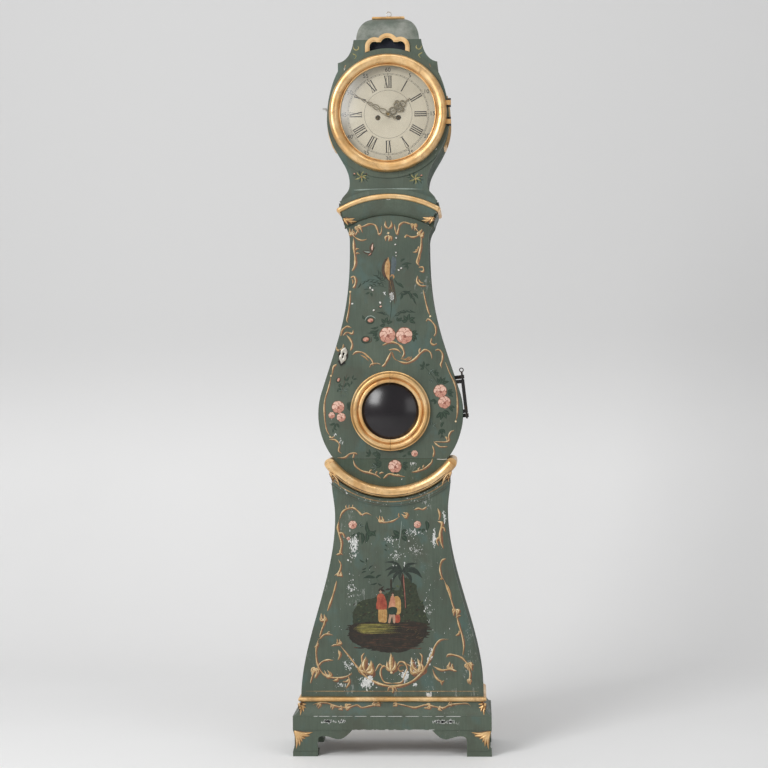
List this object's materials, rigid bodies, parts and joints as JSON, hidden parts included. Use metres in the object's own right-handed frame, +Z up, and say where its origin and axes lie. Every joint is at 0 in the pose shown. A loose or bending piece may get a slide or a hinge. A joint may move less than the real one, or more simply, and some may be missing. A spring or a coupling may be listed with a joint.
{
  "type": "grandfather clock",
  "caption": "Rococo longcase clock: waisted painted case with round belly, hinged trunk door, sliding hood, hinged bezel, geared movement, pendulum and weights.",
  "frame": {"origin": "on the floor under the middle of the case", "axes": "+Z up, the dial faces -Y, +X to the right of a person facing the dial"},
  "size_m": [0.632, 0.3, 2.3966],
  "materials": {
    "paint": "hand-painted sage green, worn, with chips",
    "gilt": "ochre gilding, worn satin",
    "bare_wood": "old unpainted pine",
    "iron": "dark forged iron",
    "brass": "aged satin brass",
    "steel": "bright steel",
    "dial_white": null,
    "glass": "clear domed glass",
    "dark_glass": "dark domed glass",
    "cloth": "dark sound cloth",
    "lead": "dull lead",
    "gut": "twisted gut line"
  },
  "bodies": {
    "case": {"feet": "paint", "plinth_block": "paint", "base_cove": "paint", "base_fillet": "gilt", "base_front": "paint", "base_box": "bare_wood", "backboard": "bare_wood", "lower_torus": "gilt", "lower_cove": "gilt", "trunk_carcase": "bare_wood", "top_cove": "paint", "top_torus": "gilt", "seatboard_frame": "bare_wood", "case_hinge": "iron", "dial": "dial_white", "movement_frame": "brass", "bell": "brass", "going_line": "gut", "strike_line": "gut"},
    "door": {"trunk_door": "paint", "lenticle_ring": "gilt", "lenticle_glass": "dark_glass", "door_lock": "iron", "door_hinge": "iron"},
    "bolt": {"lock_bolt": "steel"},
    "hood": {"hood_front": "paint", "hood_sides": "paint", "hood_roof": "paint", "roof_dome": "paint", "dome_moulding": "gilt", "hanging_eye": "steel", "cartouche_moulding": "gilt", "cartouche_cloth": "cloth", "window_frames": "gilt", "window_glass": "glass", "hood_base": "paint", "bezel_hinge": "brass"},
    "bezel": {"dial_bezel": "gilt", "dial_glass": "glass"},
    "latch": {"hood_latch": "steel"},
    "going": {"going_wheel": "brass"},
    "centre": {"centre_wheel": "brass", "minute_hand": "brass"},
    "third": {"third_wheel": "brass"},
    "escape": {"escape_wheel": "brass"},
    "anchor_body": {"anchor": "steel"},
    "minute": {"minute_wheel": "brass"},
    "hour": {"hour_wheel": "brass", "hour_hand": "brass"},
    "pendulum": {"pendulum_rod": "steel", "pendulum_bob": "brass"},
    "strike": {"strike_wheel": "brass"},
    "pin": {"pin_wheel": "brass"},
    "hoop": {"hoop_wheel": "brass"},
    "fly_body": {"fly": "brass"},
    "hammer_body": {"hammer": "steel"},
    "going_load": {"going_weight": "lead"},
    "strike_load": {"strike_weight": "lead"},
    "going_pulley": {"going_sheave": "brass"},
    "strike_pulley": {"strike_sheave": "brass"}
  },
  "joints": [
    {"name": "door_swing", "type": "hinge", "parent": "case", "child": "door", "pos_m": [0.2374, -0.092, 1.142], "axis": [-0.108, 0, 0.9942], "range_deg": [0, 100]},
    {"name": "bolt_throw", "type": "slide", "parent": "door", "child": "bolt", "axis": [-1, 0, 0], "range_m": [0, 0.018]},
    {"name": "hood_slide", "type": "slide", "parent": "case", "child": "hood", "axis": [0, -1, 0], "range_m": [0, 0.35]},
    {"name": "bezel_swing", "type": "hinge", "parent": "hood", "child": "bezel", "pos_m": [0.1985, -0.122, 2.047], "axis": [0, 0, 1], "range_deg": [0, 100]},
    {"name": "latch_turn", "type": "hinge", "parent": "hood", "child": "latch", "pos_m": [-0.2, -0.104, 2.062], "axis": [1, 0, 0], "range_deg": [0, 60]},
    {"name": "minute_turn", "type": "hinge", "parent": "case", "child": "centre", "pos_m": [0, 0, 2.047], "axis": [0, 1, 0], "continuous": true},
    {"name": "great_turn", "type": "hinge", "parent": "case", "child": "going", "pos_m": [0.033, 0, 2.036], "axis": [0, 1, 0], "continuous": true},
    {"name": "third_turn", "type": "hinge", "parent": "case", "child": "third", "pos_m": [0.013, 0, 2.0784], "axis": [0, 1, 0], "continuous": true},
    {"name": "escape_turn", "type": "hinge", "parent": "case", "child": "escape", "pos_m": [0, 0, 2.1036], "axis": [0, 1, 0], "continuous": true},
    {"name": "minute_wheel_turn", "type": "hinge", "parent": "case", "child": "minute", "pos_m": [0, 0, 2.0236], "axis": [0, 1, 0], "continuous": true},
    {"name": "hour_turn", "type": "hinge", "parent": "case", "child": "hour", "pos_m": [0, 0, 2.047], "axis": [0, 1, 0], "continuous": true},
    {"name": "pendulum_swing", "type": "hinge", "parent": "case", "child": "pendulum", "pos_m": [0, 0.024, 2.1285], "axis": [0, 1, 0], "range_deg": [-2.3, 2.3]},
    {"name": "anchor_rock", "type": "hinge", "parent": "case", "child": "anchor_body", "pos_m": [0, 0, 2.1285], "axis": [0, 1, 0], "range_deg": [-2.3, 2.3]},
    {"name": "pin_wheel_turn", "type": "hinge", "parent": "case", "child": "pin", "pos_m": [-0.04, 0, 2.0674], "axis": [0, 1, 0], "continuous": true},
    {"name": "strike_great_turn", "type": "hinge", "parent": "case", "child": "strike", "pos_m": [-0.033, 0, 2.036], "axis": [0, 1, 0], "continuous": true},
    {"name": "hoop_turn", "type": "hinge", "parent": "case", "child": "hoop", "pos_m": [-0.03, 0, 2.0905], "axis": [0, 1, 0], "continuous": true},
    {"name": "fly_turn", "type": "hinge", "parent": "case", "child": "fly_body", "pos_m": [-0.042, 0, 2.1051], "axis": [0, 1, 0], "continuous": true},
    {"name": "hammer_lift", "type": "hinge", "parent": "case", "child": "hammer_body", "pos_m": [-0.063, 0, 2.087], "axis": [0, 1, 0], "range_deg": [-14, 0]},
    {"name": "going_drop", "type": "slide", "parent": "case", "child": "going_load", "axis": [0, 0, 1], "range_m": [0, 1.25], "deforming": ["going_line"]},
    {"name": "strike_drop", "type": "slide", "parent": "case", "child": "strike_load", "axis": [0, 0, 1], "range_m": [0, 1.25], "deforming": ["strike_line"]},
    {"name": "going_sheave_turn", "type": "hinge", "parent": "going_load", "child": "going_pulley", "pos_m": [0.0688, -0.03, 0.6], "axis": [0, 1, 0], "continuous": true},
    {"name": "strike_sheave_turn", "type": "hinge", "parent": "strike_load", "child": "strike_pulley", "pos_m": [-0.0688, -0.03, 0.6], "axis": [0, 1, 0], "continuous": true}
  ],
  "couplings": [
    {"joint": "great_turn", "follows": "minute_turn", "ratio": -0.083333},
    {"joint": "third_turn", "follows": "minute_turn", "ratio": -7.5},
    {"joint": "escape_turn", "follows": "minute_turn", "ratio": 60},
    {"joint": "minute_wheel_turn", "follows": "minute_turn", "ratio": -1},
    {"joint": "hour_turn", "follows": "minute_turn", "ratio": 0.083333},
    {"joint": "anchor_rock", "follows": "pendulum_swing", "ratio": 1},
    {"joint": "strike_great_turn", "follows": "pin_wheel_turn", "ratio": -0.095238},
    {"joint": "hoop_turn", "follows": "pin_wheel_turn", "ratio": -8},
    {"joint": "fly_turn", "follows": "pin_wheel_turn", "ratio": 64},
    {"joint": "going_sheave_turn", "follows": "going_drop", "rad_per_m": 55.556},
    {"joint": "strike_sheave_turn", "follows": "strike_drop", "rad_per_m": -55.556}
  ]
}
